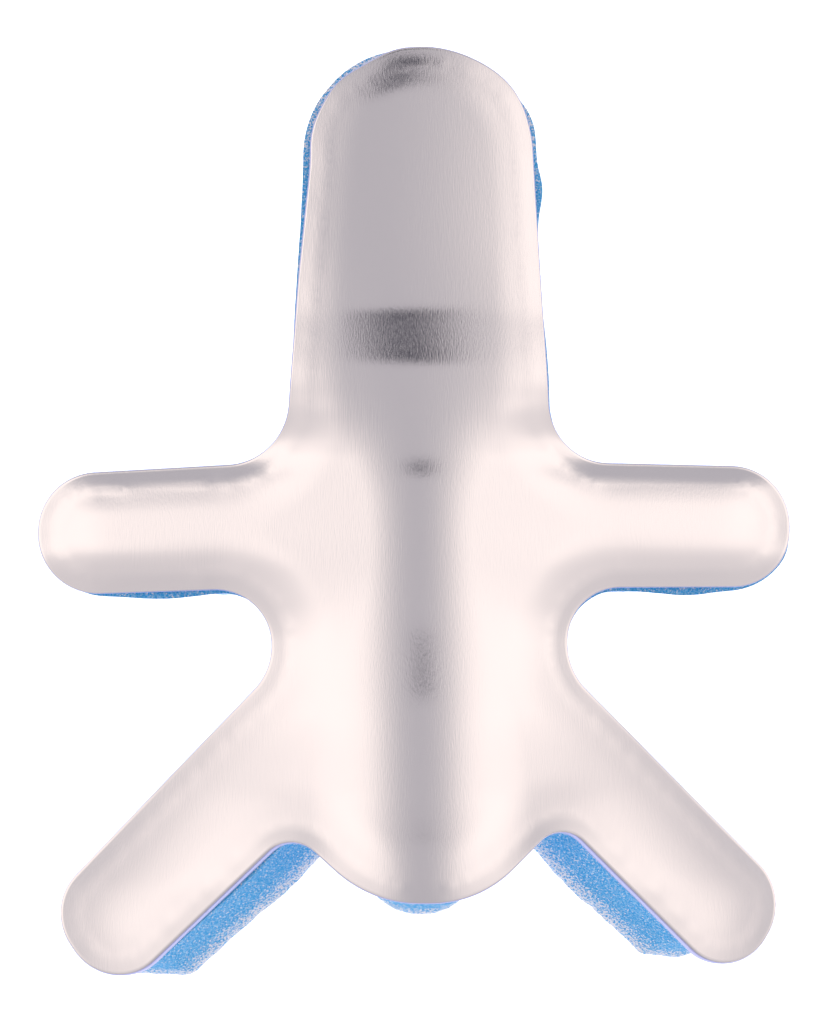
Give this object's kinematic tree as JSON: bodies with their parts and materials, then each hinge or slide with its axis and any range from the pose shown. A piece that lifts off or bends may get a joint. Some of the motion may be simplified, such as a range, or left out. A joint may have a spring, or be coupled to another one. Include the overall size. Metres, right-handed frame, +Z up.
{
  "type": "finger splint",
  "caption": "Padded aluminium finger splint: a rounded fingertip end, a crowned strip and two pairs of bendable arms over a soft foam pad.",
  "frame": {"origin": "on the table under the middle of the splint's bounding box", "axes": "+Z up from the table through the metal side, +Y towards the rounded fingertip end, +X to the right as seen from above"},
  "size_m": [0.0614, 0.0758, 0.0188],
  "materials": {
    "aluminium": "satin, lightly brushed, cut edges bare",
    "foam": "matt light blue open-cell foam"
  },
  "bodies": {
    "root": {"aluminium_sheet": "aluminium", "foam_pad": "foam"}
  },
  "joints": []
}
